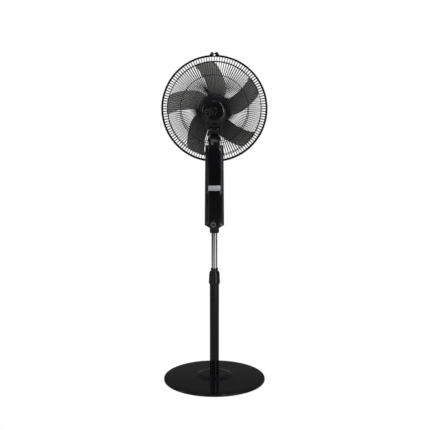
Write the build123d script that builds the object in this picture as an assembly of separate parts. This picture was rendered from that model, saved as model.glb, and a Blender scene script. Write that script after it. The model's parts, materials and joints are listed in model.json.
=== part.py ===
from build123d import *
import math
import os

# Pedestal fan. Millimetres, +Z up, floor at Z = 0, pole axis on X = Y = 0.
# The fan blows toward -Y, so the grille faces -Y and the motor's round back faces +Y.

# ---- driving dimensions: stand -------------------------------------------------
base_radius = 213.0
base_edge_height = 14.0
base_cover_gap = 2.0            # from the floor to the cover's lower edge
base_wall = 2.5
base_dome_height = 20.0         # height of the dome where it meets the boss
boss_radius = 63.5
boss_height = 28.0
weight_radius = 190.0
weight_thickness = 7.0
foot_height = 4.0
foot_radius = 9.0
foot_circle = 175.0
foot_count = 5
base_screw_circle = 120.0
base_screw_count = 3
outer_tube_radius = 19.25
outer_tube_wall = 1.5
outer_tube_top = 425.0
socket_flange_radius = 42.0
socket_flange_height = 4.0
socket_plug_height = 26.0
bolt_radius = 4.0
bolt_head_radius = 12.0
bolt_head_height = 3.0

# ---- driving dimensions: height clamp and mast --------------------------------
bush_grip = 40.0                # how deep the collar bush sits in the outer tube
bush_thread_radius = 17.2
bush_thread_length = 36.0
bush_lip_radius = 15.15
bush_lip_length = 22.0
nut_grip_wall = 4.45            # how far the nut's widest part stands out from the outer tube
nut_top_wall = 2.25
nut_skirt = 13.5                # how far the nut hangs below the tube's top
nut_chamfer = 8.5
mast_radius = 12.0
mast_wall = 1.2
mast_bottom = 190.0
mast_length = 500.0
mast_top = mast_bottom + mast_length
slider_length = 22.0
slider_lip = 4.0
running_gap = 0.06              # radial gap of every running fit
free_gap = 0.35                 # gap between curved faces that move past each other

# ---- driving dimensions: control column ---------------------------------------
mast_overlap = 35.0             # how far the mast reaches up past the column's foot
funnel_height = 13.0
column_height = 322.0
column_foot = mast_top - mast_overlap
column_low = column_foot + funnel_height
column_top = column_low + column_height
column_width_low = 79.3
column_width_top = 73.6
column_depth_low = 74.0
column_depth_top = 70.0
column_shift = 5.0              # the column's middle lies this far behind the pole axis
column_corner = 13.0
column_crown = 150.0            # radius of the crowned back
column_wall = 2.5
spigot_width = 38.5
spigot_drop = 23.0
funnel_depth_loss = 14.0         # how much shallower the funnel gets towards its foot
socket_height = 56.0
back_window_width = 64.0
back_window_margin = 6.0
cover_gap = 0.2
label_width = 49.5
label_height = 20.6
label_thickness = 0.5
label_z = column_low + 153.4
gland_radius = 11.0
gland_bore = 4.5
gland_x = 4.4
gland_z = column_low + 3.5
gland_reach = 3.0
column_screw_rows = [(column_top - 7, 24.0), (column_low + 139, 27.5), (column_low + 11, 27.8)]
screw_shank = 1.5
screw_head_radius = 2.6
screw_head_height = 1.4
screw_post_radius = 4.0
screw_sink = 0.8                # how far a screw head sits below the crowned face
screw_length = 14.0
post_gap = 1.5                  # from a screw post's end to the cover's inner face
panel_width = 56.0
panel_height = 112.0
panel_thickness = 2.0
panel_z = column_low + 188.0
button_width = 10.0
button_height = 16.0
button_pitch = 12.5
button_reach = 6.0
button_stem = 16.0
button_names = ["button_off", "button_low", "button_medium", "button_high"]
button_z = column_low + 164.0
timer_z = column_low + 212.0     # low enough for the guard to pass when the head tips down
timer_radius = 16.0
timer_depth = 14.0
timer_shaft_radius = 3.0
timer_skirt = 5.0               # height of the knob's round skirt under its grip bar
timer_grip_half = 3.5
timer_body_half = 19.0
timer_body_depth = 26.0
switch_depth = 18.0
switch_half_height = 11.0
capacitor_half_width = 18.0
capacitor_front = 12.0
capacitor_depth = 12.0
capacitor_bottom = column_low + 67.0
capacitor_height = 22.0

# ---- driving dimensions: neck and tilt ----------------------------------------
tilt_z = column_top + 45.0
yoke_half_width = 25.0
yoke_ear = 5.2
yoke_ear_radius = 15.5
yoke_base_top = column_top + 22.0
yoke_front = -19.0
yoke_back = 17.0
yoke_flange = 4.0
yoke_root = 8.0                 # how far the yoke reaches down into the column
yoke_wall = 6.0
neck_cover_low_width = 44.0
neck_cover_top_width = 32.0
neck_cover_thickness = 3.0
neck_cover_top = column_top + 44.0
neck_cover_round = 8.0
tilt_bolt_radius = 3.0
tilt_head_radius = 5.5
tilt_head_height = 3.0
block_knuckle_radius = 15.0
block_side_gap = 0.4
block_half_width = 24.8
block_lower = tilt_z + 18.0
block_upper = tilt_z + 33.0
block_cover_thickness = 3.0
turntable_radius = 21.5
turntable_top = tilt_z + 48.0
neck_screw_spread = 14.5
neck_screw_z = tilt_z + 23.5

# ---- driving dimensions: swing mechanism --------------------------------------
pivot_radius = 4.0
pivot_bottom = tilt_z + 25.0
pivot_top = tilt_z + 65.0
link_radius = 20.0
link_thickness = 3.0
thrust_gap = 0.3                # from the fixed link up to the head's pivot boss
pivot_boss_radius = 6.4
crank_distance = 26.0           # crank axis behind the pivot axis
crank_radius = 16.7             # crank pin from the crank axis
crank_pin_radius = 2.0
slot_half_width = 3.3
slot_near = 6.3
slot_far = 18.2
gear_module = 1.0
crank_teeth = 36
pinion_teeth = 9
gear_addendum = 0.7
gear_dedendum = 1.2
gear_tooth_share = 0.32         # tooth width at the pitch circle as a share of the pitch
gear_bottom = turntable_top + 11.0
gear_thickness = 5.0
crank_stub_radius = 3.0
crank_stub_length = 11.0
clutch_x = 20.0
clutch_shaft_radius = 2.0
clutch_shaft_top = tilt_z + 157.0
knob_radius = 7.15
knob_top = tilt_z + 172.0
knob_head_height = 8.0
knob_stem_radius = 3.2
knob_stem_bottom = tilt_z + 141.0
worm_pitch_radius = 5.0
worm_core_radius = 4.0
worm_tip_radius = 5.8
worm_thread_width = 1.1
worm_length = 20.0
worm_bore = 2.5
wheel_teeth = 30
wheel_thickness = 5.0
gearbox_wall = 2.5
gearbox_floor = tilt_z + 67.0
gearbox_top = tilt_z + 111.0
gearbox_lid = 2.4
gearbox_arm = 7.0               # width of the arms that carry the gearbox on the motor
arm_thickness = 6.0
low_arm_rise = 8.0              # from the gearbox floor up to its lower arms
high_arm_rise = 37.0
arm_inset = 11.8

# ---- driving dimensions: motor ------------------------------------------------
head_z = tilt_z + 98.0
flange_radius = 63.5
shell_wall = 2.5
front_face = 48.0               # the motor's front face lies this far ahead of the pole axis
split_plane = -5.0
back_depth = 75.0
back_radius = 53.0
tail_half_width = 31.75
tail_bottom = tilt_z + 35.7
tail_depth = 58.0
swing_opening = 25.5
swing_opening_top = tilt_z + 55.0
vent_count = 14
vent_width = 2.6
vent_inner = 9.0
vent_outer = 27.0
boss_thread_radius = 24.0
boss_thread_length = 11.0
stator_radius = 40.0
stator_front = -34.0
stator_back = -16.0
rotor_radius = 20.0
rotor_air_gap = 0.5
winding_inner = 22.0
winding_outer = 34.0
bell_thickness = 2.5
bell_front = -44.0
bell_back = -6.5
bell_hub_radius = 10.0
bell_bolt_circle = 37.0
bell_bolt_radius = 1.75
bell_bolt_head = 1.3
bush_radius = 7.0
shaft_radius = 4.0
shaft_front = -109.0
shaft_step = 10.0
shaft_back = 50.0

# ---- driving dimensions: guards and blade -------------------------------------
guard_wires = 120
wire_radius = 1.2
rim_radius = 214.5
rim_wire_radius = 2.4
rear_rim_y = -106.0
front_rim_y = -112.0
rear_flat_radius = 150.0
rear_flat_y = -53.0
rear_hub_ring = 42.0
rear_hub_y = -50.0
front_flat_radius = 148.0
front_flat_y = -160.0
front_hub_ring = 46.0
front_hub_y = -170.0
hub_wire_radius = 2.0
stay_wire_radius = 1.25
weld_bite = 0.8                 # how far crossing wires melt into each other
stay_inner = 140.0
stay_outer = 194.0
ring_outer_radius = 220.0
ring_wall = 2.0
ring_lip_radius = 216.0
ring_lip = 1.6
ring_front = -117.0
ring_back = -101.0
ring_gap = 6.4
ear_height = 232.0
ear_depth = 12.0
ear_screw_height = 225.0
ear_screw_radius = 2.0
ear_head_radius = 3.6
ear_seat = 9.0                  # plastic left between the ring's gap and the screw's head
ear_foot = 18.0                 # length of an ear's foot along the ring
ear_peak = 10.0
ear_peak_flat = 5.5
guard_nut_radius = 50.0
guard_nut_flange = 3.0
guard_nut_grip_radius = 30.0
badge_radius = 44.0
badge_lip = 48.0
badge_depth = 6.0
badge_lip_thickness = 2.4
blade_count = 5
blade_tip = 196.0
blade_root = 24.0
blade_thickness = 2.0
blade_centre_y = -87.0
blade_root_pitch = 28.0
blade_tip_pitch = 16.0
blade_sweep = 12.0              # how far the blade's middle line leads its hub
lead_root_angle = 18.0
lead_tip_angle = 25.0
lead_points = [(70, 17.5), (125, 18.5)]          # (radius, degrees) between root and tip
trail_root_angle = -46.0
trail_tip_angle = -0.5
trail_points = [(141, -13.75), (108, -26), (70, -38.75)]
hub_radius = 28.0
hub_wall = 3.0
hub_back = -64.0
hub_front = -99.0
spinner_radius = 24.0
spinner_length = 16.0

# ---- worked out from the values above -----------------------------------------
beyond = 200.0                  # long enough to cut right through any piece
outer_tube_bore = outer_tube_radius - outer_tube_wall
weight_top = foot_height + weight_thickness
socket_seat = weight_top + socket_flange_height
bush_bottom = outer_tube_top - bush_grip
bush_shoulder = outer_tube_top + bush_thread_length
bush_top = bush_shoulder + bush_lip_length
nut_wide_radius = outer_tube_radius + nut_grip_wall
nut_narrow_radius = outer_tube_radius + nut_top_wall
spigot_bottom = column_foot - spigot_drop
clutch_y = crank_distance + math.sqrt(
    (gear_module * (crank_teeth + pinion_teeth) / 2) ** 2 - clutch_x ** 2)
wheel_pitch_radius = clutch_x - worm_pitch_radius
worm_lead = 2 * math.pi * wheel_pitch_radius / wheel_teeth
link_top = turntable_top + link_thickness
gearbox_front = clutch_y - wheel_pitch_radius - 3.8
gearbox_back = clutch_y + wheel_pitch_radius + 4.2
gearbox_left = -11.0
gearbox_right = clutch_x + wheel_pitch_radius + 3.8
HEAD = Pos(0, 0, head_z) * Rot(-90, 0, 0)      # local +Z becomes world +Y on the fan's axis


def write(name, shape):
    export_step(shape, f"parts/{name}.step")


def turned(points):
    """A solid of revolution about Z from (radius, height) corners."""
    outline = Polyline(*[(r, 0, h) for r, h in points], close=True)
    return revolve(make_face(outline), Axis.Z, 360)


def drum(radius, low, high, bore=0.0):
    """A round bar or ring on the Z axis."""
    body = Pos(0, 0, (low + high) / 2) * Cylinder(radius, high - low)
    if bore:
        body -= Pos(0, 0, (low + high) / 2) * Cylinder(bore, high - low + 1)
    return body


def bar_y(radius, x, z, front, back):
    """A round bar parallel to Y."""
    return Pos(x, (front + back) / 2, z) * Rot(90, 0, 0) * Cylinder(radius, back - front)


def bar_x(radius, y, z, left, right):
    """A round bar parallel to X."""
    return Pos((left + right) / 2, y, z) * Rot(0, 90, 0) * Cylinder(radius, right - left)


def block(x0, x1, y0, y1, z0, z1):
    """A box between two corners."""
    return Pos((x0 + x1) / 2, (y0 + y1) / 2, (z0 + z1) / 2) * Box(x1 - x0, y1 - y0, z1 - z0)


def around(count, radius, shape, start=0.0):
    """Copies of a shape on a circle about Z."""
    step = 360 / count
    return [Rot(0, 0, start + i * step) * Pos(radius, 0, 0) * shape for i in range(count)]


def wire_ring(radius, height, half):
    """A square wire bent into a ring about Z; half is half its thickness."""
    return drum(radius + half, height - half, height + half, radius - half)


def gear(teeth, bore):
    """A spur gear of straight-flanked teeth, flat on Z = 0."""
    pitch_radius = gear_module * teeth / 2
    root_radius = pitch_radius - gear_dedendum
    tip_radius = pitch_radius + gear_addendum
    half_pitch = gear_module * math.pi * gear_tooth_share / 2
    half_root = half_pitch * 1.5
    half_tip = half_pitch * 0.6
    outline = Polyline((root_radius - 0.5, -half_root, 0), (tip_radius, -half_tip, 0),
                       (tip_radius, half_tip, 0), (root_radius - 0.5, half_root, 0), close=True)
    tooth = extrude(make_face(outline), gear_thickness, dir=(0, 0, 1))
    body = drum(root_radius, 0, gear_thickness)
    body = body.fuse(*[Rot(0, 0, i * 360 / teeth) * tooth for i in range(teeth)])
    return body - drum(bore, -1, gear_thickness + 1) if bore else body


# ---- stand --------------------------------------------------------------------
def base_cover():
    w = base_wall
    edge = base_edge_height
    outline = [
        (base_radius, base_cover_gap), (base_radius, edge - 5), (base_radius - 5, edge),
        (boss_radius + 8, base_dome_height), (boss_radius, boss_height - 1.5),
        (boss_radius - 3, boss_height), (outer_tube_radius + cover_gap, boss_height),
        (outer_tube_radius + cover_gap, boss_height - w), (boss_radius - 3 - w, boss_height - w),
        (boss_radius + 6, base_dome_height - w), (base_radius - 6, edge - w),
        (base_radius - w, edge - 6), (base_radius - w, base_cover_gap)]
    shell = turned(outline)
    dome_fall = (base_dome_height - edge) / (base_radius - boss_radius)
    under = base_dome_height - w - dome_fall * (base_screw_circle - boss_radius)
    post = drum(screw_post_radius, weight_top, under + 0.6)
    shell = shell.fuse(*around(base_screw_count, base_screw_circle, post))
    return shell - Compound(around(base_screw_count, base_screw_circle,
                                   drum(screw_shank, 0, weight_top + 3)))


def base_weight():
    plate = drum(weight_radius, foot_height, weight_top, bolt_radius)
    return plate - Compound(around(base_screw_count, base_screw_circle,
                                   drum(screw_shank, 0, weight_top + 1)))


def base_cover_screws():
    screw = drum(screw_head_radius, foot_height - screw_head_height, foot_height)
    screw += drum(screw_shank, foot_height, weight_top + 3)
    return Compound(around(base_screw_count, base_screw_circle, screw))


def base_feet():
    return Compound(around(foot_count, foot_circle, drum(foot_radius, 0, foot_height), 90))


def tube_socket():
    flange = drum(socket_flange_radius, weight_top, socket_seat)
    plug = drum(outer_tube_bore, socket_seat, socket_seat + socket_plug_height)
    return flange + plug - drum(bolt_radius, 0, socket_seat + socket_plug_height + 1)


def base_bolt():
    head = drum(bolt_head_radius, foot_height - bolt_head_height, foot_height)
    return head + drum(bolt_radius, foot_height, socket_seat + socket_plug_height - 2)


def outer_tube():
    return drum(outer_tube_radius, socket_seat, outer_tube_top, outer_tube_bore)


def collar_bush():
    bush = drum(outer_tube_bore, bush_bottom, outer_tube_top)
    bush += drum(bush_thread_radius, outer_tube_top, bush_shoulder)
    bush += drum(bush_lip_radius, bush_shoulder, bush_top)
    return bush - drum(mast_radius + running_gap, bush_bottom - 1, bush_top + 1)


def height_lock_nut():
    low = outer_tube_top - nut_skirt
    high = bush_shoulder + bush_lip_length / 3
    ledge = outer_tube_top + 2
    thread = bush_thread_radius + running_gap
    skirt = outer_tube_radius + free_gap
    return turned([
        (skirt, low), (nut_wide_radius, low + nut_chamfer), (nut_narrow_radius, bush_shoulder),
        (nut_narrow_radius - 2, high), (bush_lip_radius + running_gap, high),
        (bush_lip_radius + running_gap, bush_shoulder + free_gap),
        (thread, bush_shoulder + free_gap), (thread, ledge), (skirt, ledge)])


def inner_tube():
    return drum(mast_radius, mast_bottom, mast_top, mast_radius - mast_wall)


def tube_slider():
    outer = outer_tube_bore - running_gap
    body = drum(outer, mast_bottom - slider_lip, mast_bottom + slider_length)
    body -= drum(mast_radius, mast_bottom, mast_bottom + slider_length + 1)
    return body - drum(mast_radius - mast_wall - 1, 0, mast_bottom + 1)


# ---- control column -----------------------------------------------------------
def column_section(width, depth, height, grow):
    """The column's plan outline: a rounded box with a crowned back."""
    outline = RectangleRounded(width + 2 * grow, depth + 2 * grow, column_corner + grow)
    crown = column_crown + grow
    outline &= Pos(0, depth / 2 + grow - crown) * Circle(crown)
    return Pos(0, column_shift, height) * outline


def column_body(grow=0.0):
    """The tapered column between its straight ends, larger all round by grow."""
    low = column_section(column_width_low, column_depth_low, column_low - min(grow, 0), grow)
    top = column_section(column_width_top, column_depth_top, column_top + min(grow, 0), grow)
    return loft([low, top])


def column_funnel(grow=0.0):
    """The short taper from the column down to its round spigot."""
    foot = Pos(0, column_shift, column_foot) * RectangleRounded(
        spigot_width + 1 + 2 * grow, column_depth_low - funnel_depth_loss + 2 * grow, column_corner + grow)
    top = Pos(0, column_shift, column_low) * RectangleRounded(
        column_width_low + 2 * grow, column_depth_low - 4 + 2 * grow, column_corner + grow)
    return loft([foot, top])


def back_surface(height):
    """Y of the column's back on its middle line at a height."""
    share = (height - column_low) / column_height
    depth = column_depth_low + share * (column_depth_top - column_depth_low)
    return column_shift + depth / 2


def back_window(gap=0.0):
    half = back_window_width / 2 - gap
    return block(-half, half, column_shift + 20, 100,
                 column_low + back_window_margin + gap, column_top - back_window_margin / 2 - gap)


def column_screw_places():
    return [(x, z) for z, half in column_screw_rows for x in (-half, half)]


def screw_seat(x, z):
    """Y of the outer face under a back screw."""
    return back_surface(z) - (column_crown - math.sqrt(column_crown ** 2 - x ** 2))


def gland_hole():
    return bar_y(gland_radius, gland_x, gland_z, column_shift + 10, 100)


def column_front_shell():
    shell = column_body() + column_funnel()
    shell -= column_body(-column_wall)
    funnel_room = column_funnel(-column_wall) & block(
        -beyond, beyond, -beyond, beyond, column_foot - 1, column_low + 4)
    shell -= funnel_room
    shell -= back_window()
    shell -= drum(spigot_width / 2, column_foot - 1, column_low + 3)
    shell -= block(-yoke_half_width - cover_gap, yoke_half_width + cover_gap,
                   yoke_front - cover_gap, yoke_back + cover_gap,
                   column_top - 5, column_top + 1)
    for x, z in column_screw_places():
        end = screw_seat(x, z) - column_wall - post_gap
        if z > column_top - 20:
            side = math.copysign(1, x)
            lug = block(min(20 * side, 40 * side), max(20 * side, 40 * side), end - 10, end,
                        z - screw_post_radius, z + screw_post_radius)
        else:
            lug = bar_y(screw_post_radius, x, z, column_shift - column_depth_low / 2, end)
        shell += lug & column_body(-column_wall / 2)
        shell -= bar_y(screw_shank, x, z, screw_seat(x, z) - screw_length, 100)
    shell -= gland_hole()
    for i in range(len(button_names)):
        x = (i - (len(button_names) - 1) / 2) * button_pitch
        shell -= block(x - button_width / 2 - free_gap, x + button_width / 2 + free_gap, -beyond, 0,
                       button_z - button_height / 2 - free_gap,
                       button_z + button_height / 2 + free_gap)
    return shell - bar_y(timer_shaft_radius + free_gap, 0, timer_z, -beyond, 0)


def column_back_cover():
    cover = column_body() - column_body(-column_wall)
    cover &= back_window(cover_gap)
    for x, z in column_screw_places():
        cover -= bar_y(screw_shank, x, z, 0, 100)
        cover -= bar_y(screw_head_radius, x, z, screw_seat(x, z) - screw_sink, 100)
    return cover - gland_hole()


def column_screws():
    screws = []
    for x, z in column_screw_places():
        seat = screw_seat(x, z) - screw_sink
        screws.append(bar_y(screw_head_radius, x, z, seat, seat + screw_head_height)
                      + bar_y(screw_shank, x, z, seat + screw_sink - screw_length, seat))
    return Compound(screws)


def cord_gland():
    back = back_surface(column_low) + gland_reach
    gland = bar_y(gland_radius, gland_x, gland_z, back_surface(column_low) - 8, back)
    return gland - bar_y(gland_bore, gland_x, gland_z, 0, back + 1)


def rating_label():
    film = column_body(label_thickness) - column_body()
    half = label_width / 2
    return film & block(-half, half, 20, 100, label_z - label_height / 2, label_z + label_height / 2)


def column_socket():
    socket = drum(spigot_width / 2, spigot_bottom, spigot_bottom + socket_height)
    return socket - drum(mast_radius, spigot_bottom - 1, mast_top)


def panel_face():
    """Y of the column's front at the control panel's middle."""
    share = (panel_z - column_low) / column_height
    depth = column_depth_low + share * (column_depth_top - column_depth_low)
    return column_shift - depth / 2


def control_panel():
    half = panel_width / 2
    low = panel_z - panel_height / 2
    high = panel_z + panel_height / 2
    plate = column_body(panel_thickness) - column_body()
    plate &= block(-half, half, -beyond, column_shift - 20, low, high)
    for i in range(len(button_names)):
        x = (i - (len(button_names) - 1) / 2) * button_pitch
        plate -= block(x - button_width / 2 - free_gap, x + button_width / 2 + free_gap, -beyond, 0,
                       button_z - button_height / 2 - free_gap,
                       button_z + button_height / 2 + free_gap)
    return plate - bar_y(timer_shaft_radius + free_gap, 0, timer_z, -beyond, 0)


def button(index):
    x = (index - (len(button_names) - 1) / 2) * button_pitch
    front = panel_face() - panel_thickness - button_reach
    return block(x - button_width / 2, x + button_width / 2, front, front + button_stem,
                 button_z - button_height / 2, button_z + button_height / 2)


def switch_block():
    half = (len(button_names) * button_pitch) / 2
    back = panel_face() - panel_thickness - button_reach + button_stem + 5
    return block(-half, half, back, back + switch_depth,
                 button_z - switch_half_height, button_z + switch_half_height)


def timer_knob():
    face = panel_face() - panel_thickness - 1
    knob = bar_y(timer_radius, 0, timer_z, face - timer_depth, face)
    reach = 2 * timer_radius
    grip = block(-timer_radius, timer_radius, face - timer_depth - 1, face - timer_skirt,
                 timer_z - reach, timer_z + reach)
    knob -= grip - block(-timer_grip_half, timer_grip_half, face - timer_depth - 1, face,
                         timer_z - reach, timer_z + reach)
    return knob + bar_y(timer_shaft_radius, 0, timer_z, face, panel_face() + 10)


def timer_body():
    front = panel_face() + column_wall + 1
    half = timer_body_half
    body = block(-half, half, front, front + timer_body_depth, timer_z - half, timer_z + half)
    return body - bar_y(timer_shaft_radius + running_gap, 0, timer_z, -beyond, panel_face() + 12)


def capacitor():
    half = capacitor_half_width
    return block(-half, half, capacitor_front, capacitor_front + capacitor_depth,
                 capacitor_bottom, capacitor_bottom + capacitor_height)


# ---- neck and tilt joint ------------------------------------------------------
def neck_yoke():
    inner = yoke_half_width - yoke_ear
    flange_half = column_width_top / 2 - column_wall - 1.5
    seat = column_top - column_wall
    body = block(-yoke_half_width, yoke_half_width, yoke_front, yoke_back,
                 seat - yoke_root, yoke_base_top)
    body += block(-flange_half, flange_half, yoke_front - 2, yoke_back + 2,
                  seat - yoke_flange, seat)
    w = yoke_wall
    body -= block(-yoke_half_width + w, yoke_half_width - w, yoke_front + w, yoke_back - w,
                  seat - yoke_root - 1, yoke_base_top - w + 1)
    for low in (-yoke_half_width, inner):
        ear = block(low, low + yoke_ear, -yoke_ear_radius, yoke_ear_radius, yoke_base_top - 1, tilt_z)
        ear += bar_x(yoke_ear_radius, 0, tilt_z, low, low + yoke_ear)
        body += ear
    return body - bar_x(tilt_bolt_radius, 0, tilt_z, -beyond, beyond)


def neck_cover():
    """The fairing that slopes from the column's back up to the neck."""
    low = column_top + cover_gap
    reach = back_surface(column_top) - yoke_back - 2
    sections = []
    for height, width, depth in ((low, neck_cover_low_width, reach),
                                 (neck_cover_top, neck_cover_top_width, neck_cover_thickness)):
        plan = Rectangle(width, depth, align=(Align.CENTER, Align.MIN))
        corners = plan.vertices().group_by(Axis.Y)[-1]
        plan = fillet(corners, min(neck_cover_round, depth - 0.5))
        sections.append(Pos(0, yoke_back, height) * plan)
    return loft(sections)


def tilt_bolt():
    out = yoke_half_width
    bolt = bar_x(tilt_bolt_radius, 0, tilt_z, -out, out + 5)
    return bolt + bar_x(tilt_head_radius, 0, tilt_z, -out - tilt_head_height, -out)


def tilt_nut():
    nut = extrude(RegularPolygon(tilt_head_radius, 6), tilt_head_height)
    nut = Pos(yoke_half_width, 0, tilt_z) * Rot(0, 90, 0) * nut
    return nut - bar_x(tilt_bolt_radius, 0, tilt_z, 0, 60)


def tilt_block():
    inner = yoke_half_width - yoke_ear - block_side_gap
    half = block_half_width
    body = bar_x(block_knuckle_radius, 0, tilt_z, -inner, inner)
    body += block(-inner, inner, -block_knuckle_radius, block_knuckle_radius, tilt_z, block_lower)
    body += block(-half, half, yoke_front, yoke_back, block_lower, block_upper)
    body += drum(turntable_radius, block_upper, turntable_top)
    body -= bar_x(tilt_bolt_radius + running_gap, 0, tilt_z, -50, 50)
    body -= drum(pivot_radius, pivot_bottom, turntable_top + 1)
    for x in (-neck_screw_spread, neck_screw_spread):
        body -= bar_y(screw_shank, x, neck_screw_z, yoke_back - 8, yoke_back + 1)
    return body


def tilt_block_cover():
    half = block_half_width
    plate = block(-half, half, yoke_back, yoke_back + block_cover_thickness,
                  block_lower + 0.5, block_upper - 0.5)
    for x in (-neck_screw_spread, neck_screw_spread):
        plate -= bar_y(screw_shank, x, neck_screw_z, yoke_back - 1, 40)
    return plate


def neck_screws():
    seat = yoke_back + block_cover_thickness
    return Compound([bar_y(screw_head_radius, x, neck_screw_z, seat, seat + screw_head_height)
                     + bar_y(screw_shank, x, neck_screw_z, yoke_back - 8, seat)
                     for x in (-neck_screw_spread, neck_screw_spread)])


def pivot_pin():
    return drum(pivot_radius, pivot_bottom, pivot_top)


def swing_link():
    plate = drum(link_radius, turntable_top, link_top, pivot_radius)
    slot = block(-slot_half_width, slot_half_width, slot_near, slot_far,
                 turntable_top - 1, link_top + 1)
    return plate - slot


# ---- swing gear train ---------------------------------------------------------
def gearbox_housing():
    w = gearbox_wall
    box = block(gearbox_left, gearbox_right, gearbox_front, gearbox_back, gearbox_floor, gearbox_top)
    box -= block(gearbox_left + w, gearbox_right - w, gearbox_front + w, gearbox_back - w,
                 gearbox_floor + w, gearbox_top + 1)
    box += block(-9, 9, -pivot_boss_radius, gearbox_front + 1, gearbox_floor, gearbox_floor + 4)
    box += drum(pivot_boss_radius, link_top + thrust_gap, gearbox_floor + 4)
    box += Pos(0, crank_distance, 0) * drum(crank_stub_radius + 4, gear_bottom + gear_thickness + 0.4,
                                            gear_bottom + gear_thickness + crank_stub_length)
    right = gearbox_right - arm_inset
    for x0, rise in ((right, low_arm_rise), (gearbox_left, low_arm_rise), (right, high_arm_rise)):
        box += block(x0, x0 + gearbox_arm, bell_back, gearbox_front + 1,
                     gearbox_floor + rise, gearbox_floor + rise + arm_thickness)
    box -= drum(pivot_radius + running_gap, tilt_z, pivot_top + 1)
    box -= Pos(0, crank_distance, 0) * drum(crank_stub_radius + running_gap, tilt_z,
                                            gear_bottom + gear_thickness + crank_stub_length + 1)
    box -= Pos(clutch_x, clutch_y, 0) * drum(clutch_shaft_radius + running_gap, tilt_z,
                                             gearbox_floor + 2 * gearbox_wall)
    return box - bar_y(shaft_radius + 1, 0, head_z, gearbox_front - 1, gearbox_front + w + 1)


def gearbox_cover():
    lid = block(gearbox_left, gearbox_right, gearbox_front, gearbox_back,
                gearbox_top, gearbox_top + gearbox_lid)
    return lid - Pos(clutch_x, clutch_y, 0) * drum(
        clutch_shaft_radius + running_gap, gearbox_top - 1, gearbox_top + 5)


def worm():
    thread_depth = worm_tip_radius - worm_core_radius + 0.4
    helix = Helix(worm_lead, worm_length - 3, worm_pitch_radius)
    half = worm_thread_width / 2
    inner = worm_core_radius - 0.4 - worm_pitch_radius
    outer = worm_tip_radius - worm_pitch_radius
    section = Polyline((inner, -half * 1.7), (outer, -half * 0.7), (outer, half * 0.7),
                       (inner, half * 1.7), close=True)
    place = Plane(origin=helix @ 0, x_dir=(1, 0, 0), z_dir=helix % 0)
    thread = sweep(place * make_face(section), path=helix, is_frenet=True)
    core = drum(worm_core_radius, -1.5, worm_length - 1.5, worm_bore)
    body = core + thread
    centred = Pos(0, 0, clutch_y - worm_length / 2 + 1.5) * body
    return HEAD * centred


def wheel_tooth_phase():
    """Turn of the worm wheel that puts a tooth gap on the worm's thread at rest."""
    start = clutch_y - worm_length / 2 + 1.5
    turns = (clutch_y - start) / worm_lead
    return turns


def worm_wheel():
    tip = wheel_pitch_radius + 0.8
    root = wheel_pitch_radius - 1.1
    half = 0.55
    outline = Polyline((root - 0.5, -half * 1.7, 0), (tip, -half * 0.6, 0), (tip, half * 0.6, 0),
                       (root - 0.5, half * 1.7, 0), close=True)
    tooth = extrude(make_face(outline), wheel_thickness, dir=(0, 0, 1))
    body = drum(root, 0, wheel_thickness)
    body = body.fuse(*[Rot(0, 0, i * 360 / wheel_teeth) * tooth for i in range(wheel_teeth)])
    body += drum(5, -4, wheel_thickness + 4)
    body -= drum(clutch_shaft_radius + running_gap, -10, 20)
    phase = 180 + (0.5 + wheel_tooth_phase()) * 360 / wheel_teeth
    return Pos(clutch_x, clutch_y, head_z - wheel_thickness / 2) * Rot(0, 0, phase) * body


def clutch_shaft():
    shaft = drum(clutch_shaft_radius, gear_bottom - 1, clutch_shaft_top)
    pinion = Pos(0, 0, gear_bottom) * gear(pinion_teeth, 0)
    toward = math.degrees(math.atan2(crank_distance - clutch_y, -clutch_x))
    return Pos(clutch_x, clutch_y, 0) * (shaft + Rot(0, 0, toward) * pinion)


def crank_gear():
    toward = math.degrees(math.atan2(clutch_y - crank_distance, clutch_x))
    wheel = Rot(0, 0, toward + 180 / crank_teeth) * gear(crank_teeth, 0)
    body = Pos(0, 0, gear_bottom) * wheel
    body += drum(crank_stub_radius, gear_bottom, gear_bottom + gear_thickness + crank_stub_length)
    body += Pos(0, -crank_radius, 0) * drum(crank_pin_radius, turntable_top + 0.6, gear_bottom + 1)
    return Pos(0, crank_distance, 0) * body


def clutch_knob():
    knob = drum(knob_radius, knob_top - knob_head_height, knob_top)
    knob = fillet(knob.edges().group_by(Axis.Z)[-1], 1.5)
    knob += drum(knob_stem_radius, knob_stem_bottom, knob_top - knob_head_height)
    knob -= drum(clutch_shaft_radius + running_gap, knob_stem_bottom - 1, knob_top - 7)
    return Pos(clutch_x, clutch_y, 0) * knob


# ---- motor --------------------------------------------------------------------
def motor_front_cover():
    w = shell_wall
    face = -front_face
    shell = turned([
        (bell_hub_radius, face), (flange_radius - 4, face), (flange_radius, face + 4),
        (flange_radius, split_plane), (flange_radius - w, split_plane),
        (flange_radius - w, face + 5), (flange_radius - w - 3, face + w), (bell_hub_radius, face + w)])
    shell += drum(boss_thread_radius, face - boss_thread_length, face + 0.5, bell_hub_radius)
    shell = HEAD * shell
    return shell - drum(swing_opening, tilt_z, swing_opening_top)


def shell_back(grow):
    """The round back of the motor housing, larger all round by grow."""
    return turned([
        (0, split_plane), (flange_radius + grow, split_plane), (flange_radius + grow, 4),
        (flange_radius - 2.5 + grow, 8), (back_radius + 5 + grow, 50),
        (back_radius + grow, 64), (back_radius - 8 + grow, back_depth - 3 + grow),
        (back_radius - 16 + grow, back_depth + grow), (0, back_depth + grow)])


def shell_tail(grow):
    """The square tail under the motor housing's back."""
    return block(-tail_half_width - grow, tail_half_width + grow, split_plane, tail_depth + grow,
                 tail_bottom - grow, head_z - 20)


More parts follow.
